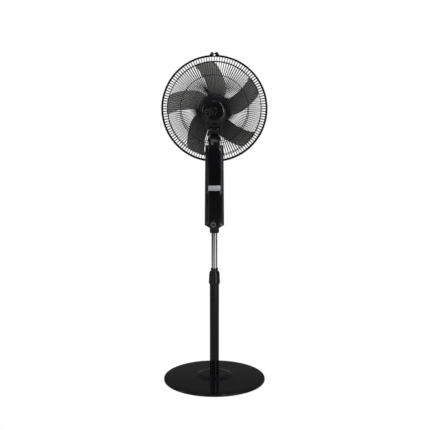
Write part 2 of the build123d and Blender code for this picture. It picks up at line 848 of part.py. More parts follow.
def motor_rear_cover():
    w = shell_wall
    outer = HEAD * shell_back(0) + shell_tail(0)
    inner = HEAD * shell_back(-w) + shell_tail(-w)
    shell = outer - inner
    shell -= block(-beyond, beyond, split_plane - beyond, split_plane, head_z - beyond, head_z + beyond)
    slot = block(vent_inner, vent_outer, -vent_width / 2, vent_width / 2, 50, 90)
    slots = [Rot(0, 0, i * 360 / vent_count) * slot for i in range(vent_count)]
    shell -= HEAD * Compound(slots)
    shell -= Pos(clutch_x, clutch_y, 0) * drum(knob_stem_radius + free_gap, head_z, head_z + beyond)
    return shell - drum(swing_opening, tilt_z, swing_opening_top)


def end_bell(face, hub_from, hub_to):
    bell = drum(stator_radius, face, face + bell_thickness)
    bell += drum(bell_hub_radius, hub_from, hub_to)
    bell -= drum(bush_radius, hub_from - 1, hub_to + 1)
    bell -= Compound(around(4, bell_bolt_circle, drum(bell_bolt_radius, -80, 20), 45))
    return HEAD * bell


def stator_core():
    core = drum(stator_radius, stator_front, stator_back, rotor_radius + rotor_air_gap)
    slot = block(winding_inner, winding_outer, -3, 3, stator_front - 1, stator_back + 1)
    core -= Compound([Rot(0, 0, i * 30) * slot for i in range(12)])
    core -= Compound(around(4, bell_bolt_circle, drum(bell_bolt_radius, -80, 20), 45))
    return HEAD * core


def stator_windings():
    front = drum(winding_outer, bell_front + bell_thickness + 0.5, stator_front, winding_inner)
    back = drum(winding_outer, stator_back, bell_back - bell_thickness - 0.5, winding_inner)
    return HEAD * Compound([front, back])


def motor_bolts():
    back = bell_back + 1.5
    bolt = drum(bell_bolt_radius, bell_front - bell_bolt_head, back)
    bolt += drum(bell_bolt_radius * 1.8, bell_front - bell_bolt_head, bell_front)
    return HEAD * Compound(around(4, bell_bolt_circle, bolt, 45))


def shaft_bushes():
    front = drum(bush_radius, bell_front - 5, bell_front + bell_thickness, shaft_radius + running_gap)
    back = drum(bush_radius, bell_back - bell_thickness, bell_back + 5, shaft_radius + running_gap)
    return HEAD * Compound([front, back])


def rotor():
    return HEAD * drum(rotor_radius, stator_front, stator_back, shaft_radius)


def motor_shaft():
    shaft = drum(shaft_radius, shaft_front, shaft_step)
    return HEAD * (shaft + drum(worm_bore, shaft_step, shaft_back))


# ---- guards -------------------------------------------------------------------
def arc_point(arc, radius):
    """Where a guard's corner arc reaches a radius, and the arc's direction there."""
    low, high = 0.0, 1.0
    for _ in range(30):
        middle = (low + high) / 2
        if (arc @ middle).X < radius:
            low = middle
        else:
            high = middle
    return arc @ low, arc % low


def guard(hub, hub_y, flat, flat_y, rim_y):
    """One wire guard: hub ring, rim, two stay rings and radial wires, fused as welded.

    The wires are square here, as thick as the round ones they stand for.
    """
    middle = math.sqrt(0.5)
    corner = (flat + (rim_radius - flat) * middle, 0, rim_y + (flat_y - rim_y) * middle)
    spoke = Line((hub, 0, hub_y), (flat, 0, flat_y))
    arc = ThreePointArc((flat, 0, flat_y), corner, (rim_radius, 0, rim_y))
    section = Plane(origin=spoke @ 0, x_dir=(0, 1, 0), z_dir=spoke % 0) * Rectangle(
        2 * wire_radius, 2 * wire_radius)
    wire = sweep(section, path=spoke + arc)
    rise = wire_radius + stay_wire_radius - weld_bite
    inside = 1 if rim_y > flat_y else -1
    inner_y = hub_y + (flat_y - hub_y) * (stay_inner - hub) / (flat - hub)
    rings = [wire_ring(hub, hub_y, hub_wire_radius),
             wire_ring(stay_inner, inner_y + inside * rise, stay_wire_radius)]
    place, along = arc_point(arc, stay_outer)
    rings.append(wire_ring(place.X - rise * abs(along.Z), place.Z + inside * rise * abs(along.X),
                            stay_wire_radius))
    body = wire_ring(rim_radius, rim_y, rim_wire_radius)
    wires = [Rot(0, 0, i * 360 / guard_wires) * wire for i in range(guard_wires)]
    return HEAD * body.fuse(*rings, *wires)


def rear_guard():
    return guard(rear_hub_ring, rear_hub_y, rear_flat_radius, rear_flat_y, rear_rim_y)


def front_guard():
    return guard(front_hub_ring, front_hub_y, front_flat_radius, front_flat_y, front_rim_y)


def guard_ring():
    band = turned([
        (ring_lip_radius, ring_front), (ring_outer_radius, ring_front),
        (ring_outer_radius, ring_back), (ring_lip_radius, ring_back),
        (ring_lip_radius, ring_back - ring_lip), (ring_outer_radius - ring_wall, ring_back - ring_lip),
        (ring_outer_radius - ring_wall, ring_front + ring_lip),
        (ring_lip_radius, ring_front + ring_lip)])
    band = HEAD * band
    band -= block(-ring_gap / 2, ring_gap / 2, -150, -80, head_z + 200, head_z + 250)
    middle = (ring_front + ring_back) / 2
    inner = ring_gap / 2
    foot = ring_outer_radius - ring_wall / 2
    for side in (-1, 1):
        outline = Polyline(
            (side * inner, middle - ear_depth / 2, head_z + foot),
            (side * (inner + ear_foot), middle - ear_depth / 2, head_z + foot - 0.6),
            (side * (inner + ear_peak), middle - ear_depth / 2, head_z + ear_height - 1),
            (side * (inner + ear_peak - ear_peak_flat), middle - ear_depth / 2, head_z + ear_height),
            (side * inner, middle - ear_depth / 2, head_z + ear_height - 3), close=True)
        band += extrude(make_face(outline), ear_depth, dir=(0, 1, 0))
    seat = inner + ear_seat
    for left, right in ((-60, -seat), (seat, 60)):
        band -= bar_x(ear_head_radius + cover_gap, middle, head_z + ear_screw_height, left, right)
    return band - bar_x(ear_screw_radius, middle, head_z + ear_screw_height, -60, 60)


def guard_ring_screw():
    middle = (ring_front + ring_back) / 2
    z = head_z + ear_screw_height
    seat = ring_gap / 2 + ear_seat
    screw = bar_x(ear_screw_radius, middle, z, -seat, seat + 2)
    return screw + bar_x(ear_head_radius, middle, z, -seat - 3, -seat)


def guard_nut():
    back = rear_hub_y - hub_wire_radius
    nut = drum(guard_nut_radius, back - guard_nut_flange, back)
    nut += drum(guard_nut_grip_radius, -front_face - boss_thread_length, back)
    return HEAD * (nut - drum(boss_thread_radius, -100, 0))


def front_badge():
    face = front_hub_y - hub_wire_radius
    disc = drum(badge_radius, face - 1, face + badge_depth)
    disc += drum(badge_lip, face - badge_lip_thickness, face)
    return HEAD * disc


# ---- blade and spinner --------------------------------------------------------
def blade_slab():
    """A thin twisted sheet along +X whose pitch falls from root to tip."""
    sections = []
    for share in (0.0, 0.35, 0.7, 1.0):
        radius = 5 + share * (blade_tip + 15)
        pitch = blade_root_pitch + (blade_tip_pitch - blade_root_pitch) * share
        plane = Plane(origin=(radius, 0, 0), x_dir=(0, 1, 0), z_dir=(1, 0, 0))
        sections.append(plane * Rot(0, 0, pitch) * Rectangle(420, blade_thickness))
    return Rot(0, 0, blade_sweep) * loft(sections)


def polar(radius, degrees):
    return (radius * math.cos(math.radians(degrees)), radius * math.sin(math.radians(degrees)))


def blade_outline():
    """One blade's plan: a broad root and a swept tip, seen along the shaft."""
    lead_root = polar(blade_root, lead_root_angle)
    lead_tip = polar(blade_tip, lead_tip_angle)
    trail_tip = polar(blade_tip, trail_tip_angle)
    trail_root = polar(blade_root, trail_root_angle)
    lead = Spline(lead_root, *[polar(r, a) for r, a in lead_points], lead_tip)
    tip = RadiusArc(lead_tip, trail_tip, blade_tip)
    trail = Spline(trail_tip, *[polar(r, a) for r, a in trail_points], trail_root)
    return make_face(lead + tip + trail + Line(trail_root, lead_root))


def blade():
    plan = extrude(blade_outline(), 60, dir=(0, 0, 1))
    single = (Pos(0, 0, -30) * plan) & blade_slab()
    single = Pos(0, 0, blade_centre_y) * single
    depth = hub_back - hub_front
    hub = drum(hub_radius, hub_front, hub_back) - drum(hub_radius - hub_wall, hub_back - depth + 4,
                                                       hub_back + 1)
    hub += drum(shaft_radius + 5, hub_front, hub_back)
    keep = drum(blade_tip + 5, blade_centre_y - 60, blade_centre_y + 60, hub_radius - hub_wall / 2)
    wings = [Rot(0, 0, i * 360 / blade_count - 90) * (single & keep) for i in range(blade_count)]
    hub = hub.fuse(*wings)
    return HEAD * (hub - drum(shaft_radius, -200, 0))


def spinner():
    back = hub_front
    cap = turned([
        (0, back), (spinner_radius, back), (spinner_radius - 1, back - spinner_length * 0.5),
        (spinner_radius - 5, back - spinner_length * 0.85), (0, back - spinner_length)])
    return HEAD * (cap - drum(shaft_radius, shaft_front - 0.5, 0))


makers = {
    "base_cover": base_cover, "base_weight": base_weight, "base_cover_screws": base_cover_screws,
    "base_feet": base_feet, "tube_socket": tube_socket, "base_bolt": base_bolt,
    "outer_tube": outer_tube, "collar_bush": collar_bush,
    "height_lock_nut": height_lock_nut, "inner_tube": inner_tube, "tube_slider": tube_slider,
    "column_front_shell": column_front_shell, "column_back_cover": column_back_cover,
    "column_screws": column_screws, "cord_gland": cord_gland, "rating_label": rating_label,
    "column_socket": column_socket, "control_panel": control_panel, "switch_block": switch_block,
    "timer_knob": timer_knob, "timer_body": timer_body, "capacitor": capacitor,
    "neck_yoke": neck_yoke, "neck_cover": neck_cover, "tilt_bolt": tilt_bolt,
    "tilt_nut": tilt_nut, "tilt_block": tilt_block, "tilt_block_cover": tilt_block_cover,
    "neck_screws": neck_screws, "pivot_pin": pivot_pin, "swing_link": swing_link,
    "gearbox_housing": gearbox_housing,
    "gearbox_cover": gearbox_cover, "worm": worm, "worm_wheel": worm_wheel,
    "clutch_shaft": clutch_shaft, "crank_gear": crank_gear, "clutch_knob": clutch_knob,
    "motor_front_cover": motor_front_cover, "motor_rear_cover": motor_rear_cover,
    "stator_core": stator_core, "stator_windings": stator_windings, "motor_bolts": motor_bolts,
    "shaft_bushes": shaft_bushes, "rotor": rotor, "motor_shaft": motor_shaft,
    "rear_guard": rear_guard, "front_guard": front_guard, "guard_ring": guard_ring,
    "guard_ring_screw": guard_ring_screw, "guard_nut": guard_nut, "front_badge": front_badge,
    "blade": blade, "spinner": spinner,
}

os.makedirs("parts", exist_ok=True)
for name, make in makers.items():
    write(name, make())
for index, name in enumerate(button_names):
    write(name, button(index))
write("front_end_bell", end_bell(bell_front, bell_front - 5, bell_front + bell_thickness))
write("rear_end_bell", end_bell(bell_back - bell_thickness, bell_back - bell_thickness, bell_back + 5))
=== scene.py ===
# %% [markdown]
# # A black pedestal fan
# The fan's working parts come packed as a fixed frame, in metres, with the floor at Z = 0.
# The grille faces -Y and the round back of the motor faces +Y. This lesson gives every
# visible piece its final surface: lathe-turned covers, wire guards, moulded blades, screws.

# %% Load the frame
import json
import math

import bmesh
import bpy
from mathutils import Matrix, Vector


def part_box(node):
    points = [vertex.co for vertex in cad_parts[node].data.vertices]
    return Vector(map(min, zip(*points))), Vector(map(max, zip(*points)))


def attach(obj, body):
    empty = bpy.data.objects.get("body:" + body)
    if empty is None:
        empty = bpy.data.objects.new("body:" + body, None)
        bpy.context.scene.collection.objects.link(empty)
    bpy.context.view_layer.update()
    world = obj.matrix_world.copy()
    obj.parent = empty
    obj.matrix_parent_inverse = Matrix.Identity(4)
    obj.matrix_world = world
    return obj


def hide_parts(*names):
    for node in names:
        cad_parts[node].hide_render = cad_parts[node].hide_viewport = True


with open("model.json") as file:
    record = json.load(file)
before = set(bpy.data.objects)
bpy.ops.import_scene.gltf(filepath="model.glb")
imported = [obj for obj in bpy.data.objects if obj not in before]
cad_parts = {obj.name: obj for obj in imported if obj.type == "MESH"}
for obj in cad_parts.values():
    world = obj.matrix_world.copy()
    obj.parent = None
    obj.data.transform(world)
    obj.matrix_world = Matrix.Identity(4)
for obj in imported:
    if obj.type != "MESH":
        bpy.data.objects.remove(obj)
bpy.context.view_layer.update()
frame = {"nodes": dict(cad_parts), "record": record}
NODES = frame["nodes"]
MM = 0.001

# %% [markdown]
# Sizes are read from the frame wherever a CAD node already holds them, so that a piece
# lands where its neighbours are. The fan's axis runs along Y at the height of the hub.

# %% Places read from the frame
guard_low, guard_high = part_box("front_guard")
HUB_Z = (guard_low.z + guard_high.z) / 2
HEAD = Matrix.Translation((0, 0, HUB_Z)) @ Matrix.Rotation(math.radians(-90), 4, "X")
tube_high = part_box("outer_tube")[1]
base_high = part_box("base_cover")[1]
print("hub height", round(HUB_Z, 4), "base radius", round(base_high.x, 4))

# %% [markdown]
# Colours are written as the hex values a paint chart gives and turned to linear light once.
# One helper adds a shader node with its settings and links, and one starts a material.


# %% Colour and node helpers
def linear(code):
    """A linear RGBA colour from an sRGB hex code."""
    parts = [int(code[i:i + 2], 16) / 255 for i in (1, 3, 5)]
    return tuple(c / 12.92 if c <= 0.04045 else ((c + 0.055) / 1.055) ** 2.4 for c in parts) + (1.0,)


def add(tree, kind, links=None, inputs=None, **settings):
    """Adds a node, sets its properties and inputs, and links other sockets into it."""
    node = tree.nodes.new(kind)
    for key, value in settings.items():
        setattr(node, key, value)
    for key, value in (inputs or {}).items():
        node.inputs[key].default_value = value
    for key, socket in (links or {}).items():
        tree.links.new(socket, node.inputs[key])
    return node


def start_material(name):
    """An empty material and its node tree, with the object coordinates every pattern uses."""
    material = bpy.data.materials.new(name)
    material.use_nodes = True
    tree = material.node_tree
    tree.nodes.clear()
    place = add(tree, "ShaderNodeTexCoord").outputs["Object"]
    return material, tree, place


def per_mm(size_mm):
    """Texture scale that makes one noise cell about size_mm wide."""
    return 1 / (size_mm * MM)


def surface(name, colour_a, colour_b, rough_low, rough_high, grain_mm, relief_mm,
            shader=None, patch_mm=60.0, strength=0.35):
    """A material whose colour and roughness drift over patches and whose grain is a fine bump."""
    material, tree, place = start_material(name)
    patches = add(tree, "ShaderNodeTexNoise", {"Vector": place},
                  {"Scale": per_mm(patch_mm), "Detail": 4.0, "Roughness": 0.6})
    tint = add(tree, "ShaderNodeMix", {"Factor": patches.outputs["Fac"]}, data_type="RGBA")
    tint.inputs["A"].default_value = linear(colour_a)
    tint.inputs["B"].default_value = linear(colour_b)
    grain = add(tree, "ShaderNodeTexNoise", {"Vector": place},
                {"Scale": per_mm(grain_mm), "Detail": 6.0, "Roughness": 0.65})
    worn = add(tree, "ShaderNodeMapRange", {"Value": patches.outputs["Fac"]},
               {"From Min": 0.3, "From Max": 0.7, "To Min": rough_low, "To Max": rough_high})
    bump = add(tree, "ShaderNodeBump", {"Height": grain.outputs["Fac"]},
               {"Strength": strength, "Distance": relief_mm * MM})
    body = add(tree, "ShaderNodeBsdfPrincipled",
               {"Base Color": tint.outputs["Result"], "Roughness": worn.outputs["Result"],
                "Normal": bump.outputs["Normal"]}, shader)
    add(tree, "ShaderNodeOutputMaterial", {"Surface": body.outputs["BSDF"]})
    return material


# %% [markdown]
# The housings are black ABS from a polished mould. That gives the eye a near-mirror skin with
# a faint unevenness, so long highlights waver a little. The spinner, the guard nut and the
# inner fittings come from a spark-eroded mould, which breaks the highlight into a soft sheen.

# %% Moulded plastics
gloss_abs = surface(
    "polished_black_abs", "#08080a", "#0d0d10", 0.07, 0.14, 1.2, 0.01,
    {"IOR": 1.5, "Coat Weight": 0.15, "Coat Roughness": 0.05}, strength=0.12)
satin_abs = surface(
    "spark_textured_black_abs", "#0d0d0f", "#141417", 0.34, 0.46, 0.35, 0.05,
    {"IOR": 1.52}, patch_mm=35)
smoke_resin = surface(
    "smoke_grey_as_resin", "#737371", "#7c7c7a", 0.26, 0.34, 1.5, 0.01,
    {"IOR": 1.57, "Coat Weight": 0.2, "Coat Roughness": 0.08}, patch_mm=120, strength=0.1)
grey_nylon = surface("grey_moulded_nylon", "#4c4d50", "#5c5d61", 0.38, 0.5, 0.4, 0.04,
                     {"IOR": 1.53}, patch_mm=8)
natural_nylon = surface("natural_nylon_gear", "#dcd6c6", "#e8e3d6", 0.36, 0.48, 0.5, 0.03,
                        {"IOR": 1.53, "Subsurface Weight": 0.05}, patch_mm=12)
key_plastic = surface("silver_painted_abs", "#8d9094", "#9da0a4", 0.24, 0.32, 0.25, 0.02,
                      {"Metallic": 0.5}, patch_mm=8)
foot_rubber = surface("moulded_black_rubber", "#141414", "#1d1d1d", 0.62, 0.78, 0.5, 0.08,
                      {"IOR": 1.5}, patch_mm=10)
print("plastics", len(bpy.data.materials))

# %% [markdown]
# The pole is a painted steel tube, the inner pole is chrome plated, and the guards are steel
# wire dipped in black powder coat, which pools slightly and looks like a soft gloss.

# %% Metals
pole_paint = surface(
    "gloss_black_stove_enamel", "#060607", "#0a0a0c", 0.12, 0.2, 2.5, 0.02,
    {"IOR": 1.45, "Coat Weight": 0.1, "Coat Roughness": 0.04}, patch_mm=90, strength=0.15)
wire_coat = surface(
    "black_powder_coat_on_wire", "#070708", "#0c0c0e", 0.28, 0.4, 0.6, 0.04,
    {"IOR": 1.45}, patch_mm=20)
chrome = surface(
    "polished_chrome_plate", "#c8cacd", "#d4d6d8", 0.05, 0.1, 0.8, 0.004,
    {"Metallic": 1.0}, patch_mm=40, strength=0.08)
zinc = surface("bright_zinc_plate", "#a3a19a", "#b5b3ab", 0.2, 0.34, 0.3, 0.02,
               {"Metallic": 1.0}, patch_mm=3)
ground_steel = surface("ground_steel", "#9a9c9f", "#b0b2b5", 0.22, 0.34, 0.2, 0.01,
                       {"Metallic": 1.0}, patch_mm=6)
black_oxide = surface("blackened_steel", "#101012", "#1a1a1c", 0.3, 0.42, 0.3, 0.02,
                      {"Metallic": 0.9}, patch_mm=4)
cast_iron = surface("grey_cast_iron", "#2b2c2e", "#3b3c3f", 0.55, 0.75, 1.2, 0.2,
                    {"Metallic": 0.6}, patch_mm=20)
die_cast = surface("die_cast_aluminium", "#8a8c8f", "#9c9ea1", 0.35, 0.5, 0.8, 0.06,
                   {"Metallic": 1.0}, patch_mm=15)
bronze = surface("sintered_bronze", "#9a7440", "#ad864e", 0.35, 0.5, 0.3, 0.05,
                 {"Metallic": 1.0}, patch_mm=5)
print("with metals", len(bpy.data.materials))


# %% Copper winding
def winding_material():
    """Enamelled copper wire laid in rings: fine bands around the motor's axis."""
    material, tree, place = start_material("enamelled_copper_winding")
    bands = add(tree, "ShaderNodeTexWave", {"Vector": place},
                {"Scale": per_mm(2.4), "Distortion": 1.5, "Detail": 2.0},
                wave_type="BANDS", bands_direction="DIAGONAL")
    ramp = add(tree, "ShaderNodeMix", {"Factor": bands.outputs["Fac"]}, data_type="RGBA")
    ramp.inputs["A"].default_value = linear("#6d3717")
    ramp.inputs["B"].default_value = linear("#c0713a")
    bump = add(tree, "ShaderNodeBump", {"Height": bands.outputs["Fac"]},
               {"Strength": 0.6, "Distance": 0.3 * MM})
    body = add(tree, "ShaderNodeBsdfPrincipled",
               {"Base Color": ramp.outputs["Result"], "Normal": bump.outputs["Normal"]},
               {"Metallic": 0.8, "Roughness": 0.32})
    add(tree, "ShaderNodeOutputMaterial", {"Surface": body.outputs["BSDF"]})
    return material


copper = winding_material()


# %% Silver label film
def label_material():
    """Blank silver polyester film: a brushed sparkle under a satin face."""
    material, tree, place = start_material("silver_polyester_film")
    stretch = add(tree, "ShaderNodeMapping", {"Vector": place}, {"Scale": (0.05, 1.0, 1.0)})
    brush = add(tree, "ShaderNodeTexNoise", {"Vector": stretch.outputs["Vector"]},
                {"Scale": per_mm(0.7), "Detail": 5.0, "Roughness": 0.7})
    tint = add(tree, "ShaderNodeMix", {"Factor": brush.outputs["Fac"]}, data_type="RGBA")
    tint.inputs["A"].default_value = linear("#a4a5a6")
    tint.inputs["B"].default_value = linear("#cbccce")
    body = add(tree, "ShaderNodeBsdfPrincipled", {"Base Color": tint.outputs["Result"]},
               {"Metallic": 0.25, "Roughness": 0.38})
    add(tree, "ShaderNodeOutputMaterial", {"Surface": body.outputs["BSDF"]})
    return material


label_film = label_material()

# %% [markdown]
# Every carried-over CAD node gets the finish of its real material, including the ones
# inside the housings, because a viewer may take the covers off.

# %% Give each CAD node its finish
FINISH = {
    gloss_abs: ["base_cover", "column_front_shell", "column_back_cover", "column_socket",
                "height_lock_nut", "collar_bush", "motor_front_cover", "motor_rear_cover",
                "front_badge", "neck_cover", "clutch_knob", "control_panel", "neck_yoke",
                "tilt_block", "tilt_block_cover", "guard_ring"],
    satin_abs: ["tube_socket", "tube_slider", "guard_nut", "spinner", "switch_block",
                "timer_body", "swing_link", "capacitor", "timer_knob"],
    wire_coat: ["rear_guard", "front_guard"],
    pole_paint: ["outer_tube"],
    chrome: ["inner_tube"],
    smoke_resin: ["blade"],
    zinc: ["column_screws", "neck_screws", "base_cover_screws",
           "motor_bolts", "base_bolt"],
    black_oxide: ["tilt_bolt", "tilt_nut", "guard_ring_screw"],
    ground_steel: ["motor_shaft", "worm", "pivot_pin", "clutch_shaft", "stator_core", "rotor"],
    cast_iron: ["base_weight"],
    copper: ["stator_windings"],
    bronze: ["shaft_bushes"],
    foot_rubber: ["base_feet"],
    label_film: ["rating_label"],
    grey_nylon: ["cord_gland"],
    natural_nylon: ["worm_wheel", "crank_gear"],
    die_cast: ["gearbox_housing", "gearbox_cover", "front_end_bell", "rear_end_bell"],
    key_plastic: ["button_off", "button_low", "button_medium", "button_high"],
}
BODY_OF = {node: body for body, nodes in frame["record"]["behaviour"]["bodies"].items()
           for node in nodes}
FINISH_OF = {node: material for material, nodes in FINISH.items() for node in nodes}


def dress(piece, material):
    """Replaces whatever materials a mesh has with one."""
    piece.data.materials.clear()
    piece.data.materials.append(material)


for node, material in FINISH_OF.items():
    dress(NODES[node], material)
print("nodes without a finish", sorted(set(NODES) - set(FINISH_OF)))

# %% [markdown]
# CAD meshes are loose triangles with knife-sharp corners. Real mouldings have a small
# radius on every edge, and that radius is what catches the light. A copy of the CAD mesh
# is welded, its flat areas are joined, and a narrow bevel rounds the corners.


# %% Rounding a CAD shape's edges
def new_piece(name, mesh, material, body, *nodes):
    """Links a finished mesh as a piece that rides on a body and stands for CAD nodes."""
    piece = bpy.data.objects.new(name, mesh)
    bpy.context.scene.collection.objects.link(piece)
    dress(piece, material)
    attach(piece, body)
    if nodes:
        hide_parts(*nodes)
    return piece


def baked_copy(piece):
    """The piece's mesh with its modifiers applied."""
    bpy.context.view_layer.update()
    graph = bpy.context.evaluated_depsgraph_get()
    return bpy.data.meshes.new_from_object(piece.evaluated_get(graph), depsgraph=graph)


def smooth_by_angle(mesh, degrees=32):
    """Smooth faces with a hard edge wherever two faces meet at more than an angle."""
    work = bmesh.new()
    work.from_mesh(mesh)
    limit = math.radians(degrees)
    for face in work.faces:
        face.smooth = True
    for edge in work.edges:
        edge.smooth = len(edge.link_faces) != 2 or edge.calc_face_angle(0) < limit
    work.to_mesh(mesh)
    work.free()


def eased(node, radius_mm=0.5, segments=2, degrees=28):
    """A welded copy of a CAD node with rounded edges, replacing the node."""
    mesh = NODES[node].data.copy()
    work = bmesh.new()
    work.from_mesh(mesh)
    bmesh.ops.remove_doubles(work, verts=work.verts, dist=0.002 * MM)
    bmesh.ops.dissolve_limit(work, angle_limit=math.radians(0.6), verts=work.verts,
                             edges=work.edges)
    work.to_mesh(mesh)
    work.free()
    rough = bpy.data.objects.new(node + "_rough", mesh)
    bpy.context.scene.collection.objects.link(rough)
    bevel = rough.modifiers.new("edge_radius", "BEVEL")
    bevel.width = radius_mm * MM
    bevel.segments = segments
    bevel.limit_method = "ANGLE"
    bevel.angle_limit = math.radians(degrees)
    bevel.harden_normals = False
    bevel.use_clamp_overlap = True
    finished = baked_copy(rough)
    bpy.data.objects.remove(rough)
    smooth_by_angle(finished, 40)
    return new_piece(node + "_moulded", finished, FINISH_OF[node], BODY_OF[node], node)


EASED = {
    "column_front_shell": 1.6, "column_back_cover": 0.5, "column_socket": 1.0, "control_panel": 0.5,
    "neck_yoke": 1.6, "neck_cover": 0.6, "tilt_block": 1.5, "tilt_block_cover": 0.8,
    "button_off": 1.0, "button_low": 1.0, "button_medium": 1.0, "button_high": 1.0,
    "timer_knob": 0.8, "guard_ring": 0.7, "guard_nut": 0.6, "cord_gland": 1.2,
    "motor_rear_cover": 1.0, "motor_front_cover": 1.0, "rating_label": 0.15,
    "tilt_nut": 0.4, "tilt_bolt": 0.5, "clutch_knob": 0.4, "front_badge": 0.8,
}
for node, radius in EASED.items():
    made = eased(node, radius)
    print(made.name, len(made.data.polygons))

# %% [markdown]
# Anything turned about an axis, such as the base, the collar and the pole, is a lathe job:
# one outline is swept round in many small steps. Corner radii are part of the outline.


# %% Lathe helpers
def rounded(points, radii, steps=6):
    """An outline in (radius, height) millimetres with arcs of the given radii at its corners."""
    result = []
    for i, (point, radius) in enumerate(zip(points, radii)):
        here = Vector(point)
        if radius == 0 or i in (0, len(points) - 1):
            result.append(here)
            continue
        before = (Vector(points[i - 1]) - here)
        after = (Vector(points[i + 1]) - here)
        reach = min(radius, before.length * 0.49, after.length * 0.49)
        start = here + before.normalized() * reach
        end = here + after.normalized() * reach
        for s in range(steps + 1):
            t = s / steps
            result.append(start * (1 - t) ** 2 + here * 2 * t * (1 - t) + end * t * t)
    return result


def lathe(outline, sides=128, closed=False, turn=None):
    """A mesh swept from a (radius, height) outline in millimetres about Z."""
    work = bmesh.new()
    rings = []
    for radius, height in outline:
        if radius < 0.001:
            rings.append([work.verts.new((0, 0, height * MM))])
            continue
        rings.append([work.verts.new((radius * MM * math.cos(2 * math.pi * k / sides),
                                      radius * MM * math.sin(2 * math.pi * k / sides),
                                      height * MM)) for k in range(sides)])
    pairs = list(zip(rings, rings[1:]))
    if closed:
        pairs.append((rings[-1], rings[0]))
    for low, high in pairs:
        for k in range(sides):
            n = (k + 1) % sides
            corner = [low[k % len(low)], low[n % len(low)], high[n % len(high)], high[k % len(high)]]
            loop = list(dict.fromkeys(corner))
            if len(loop) > 2:
                work.faces.new(loop)
    bmesh.ops.recalc_face_normals(work, faces=work.faces)
    if turn is not None:
        bmesh.ops.transform(work, matrix=turn, verts=work.verts)
    mesh = bpy.data.meshes.new("lathe")
    work.to_mesh(mesh)
    work.free()
    smooth_by_angle(mesh)
    return mesh


def span(node):
    """A node's lowest and highest Z in millimetres."""
    low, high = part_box(node)
    return low.z / MM, high.z / MM


def radius_of(node):
    """Half a node's width in millimetres."""
    low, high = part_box(node)
    return (high.x - low.x) / 2 / MM


# %% [markdown]
# The base cover is one large moulding: a rounded rim, a shallow dome and a raised boss
# round the pole. Its gloss mirrors the pole, so the dome needs to be smooth all the way.

# %% Base cover
rim = radius_of("base_cover")
rim_low, boss_top = span("base_cover")
tube_radius = radius_of("outer_tube")
wall = 2.5
edge_top = 14.0
boss = 63.5
dome_top = 20.0
cover_outline = rounded(
    [(rim - wall, rim_low), (rim, rim_low), (rim, edge_top - 2.5), (rim - 24, edge_top + 1),
     (boss + 13, dome_top - 0.3), (boss - 5, boss_top),
     (tube_radius + 0.2, boss_top), (tube_radius + 0.2, boss_top - wall),
     (boss - 6, boss_top - wall), (boss + 12, dome_top - wall - 0.3),
     (rim - 25, edge_top - wall + 1), (rim - wall, edge_top - 6)],
    [0, 1.5, 9, 22, 14, 12, 0.8, 0, 8, 8, 10, 0], 8)
base = new_piece("base_cover_pressed", lathe(cover_outline, 192, closed=True), gloss_abs,
                 "stand", "base_cover")
print("base cover faces", len(base.data.polygons))

# %% Pole, chrome tube and collar
POLE_WALL = 1.5
MAST_WALL = 1.2
SHOULDER_DROP = 22.0
BUSH_LOW_RADIUS = 17.2
BUSH_HIGH_RADIUS = 15.1
SLIDE_GAP = 0.06
low, high = span("outer_tube")
pole_bore = tube_radius - POLE_WALL
pole_outline = rounded([(pole_bore, low), (tube_radius, low), (tube_radius, high),
                        (pole_bore, high)], [0, 0.4, 0.6, 0])
new_piece("outer_tube_painted", lathe(pole_outline, 96, closed=True), pole_paint, "stand",
          "outer_tube")
low, high = span("inner_tube")
mast_radius = radius_of("inner_tube")
mast_bore = mast_radius - MAST_WALL
mast_outline = rounded([(mast_bore, low), (mast_radius, low), (mast_radius, high),
                        (mast_bore, high)], [0, 0.3, 0.3, 0])
new_piece("inner_tube_chromed", lathe(mast_outline, 96, closed=True), chrome, "mast", "inner_tube")
low, high = span("collar_bush")
shoulder = high - SHOULDER_DROP
pole_top = tube_high.z / MM
bush_bore = mast_radius + SLIDE_GAP
bush_outline = rounded(
    [(bush_bore, low), (pole_bore, low), (pole_bore, pole_top), (BUSH_LOW_RADIUS, pole_top),
     (BUSH_LOW_RADIUS, shoulder), (BUSH_HIGH_RADIUS, shoulder), (BUSH_HIGH_RADIUS, high),
     (bush_bore, high)], [0, 0.5, 0, 0, 0.4, 0, 1.4, 0])
new_piece("collar_bush_moulded", lathe(bush_outline, 96, closed=True), gloss_abs, "stand",
          "collar_bush")

# %% Height lock nut
NUT_GAP = 0.35
NUT_TOP_BORE = 15.21
NUT_THREAD_BORE = 17.26
low, high = span("height_lock_nut")
wide = radius_of("height_lock_nut")
skirt = tube_radius + NUT_GAP
ledge = pole_top + 2
nut_outline = rounded(
    [(skirt, low), (wide - 0.2, low + 8.5), (wide - 2.2, shoulder), (wide - 4.2, high),
     (NUT_TOP_BORE, high), (NUT_TOP_BORE, shoulder + NUT_GAP),
     (NUT_THREAD_BORE, shoulder + NUT_GAP), (NUT_THREAD_BORE, ledge), (skirt, ledge)],
    [0, 3, 4, 1.2, 0, 0, 0, 0, 0])
new_piece("height_lock_nut_moulded", lathe(nut_outline, 96, closed=True), gloss_abs,
          "height_nut", "height_lock_nut")

# %% [markdown]
# A guard is more than a hundred identical wires, each bent once, standing in a circle and
# spot-welded to rings. That is a job for Geometry Nodes: one wire's path goes in, and the
# tree gives it thickness, copies it round the axis, and sets the material.


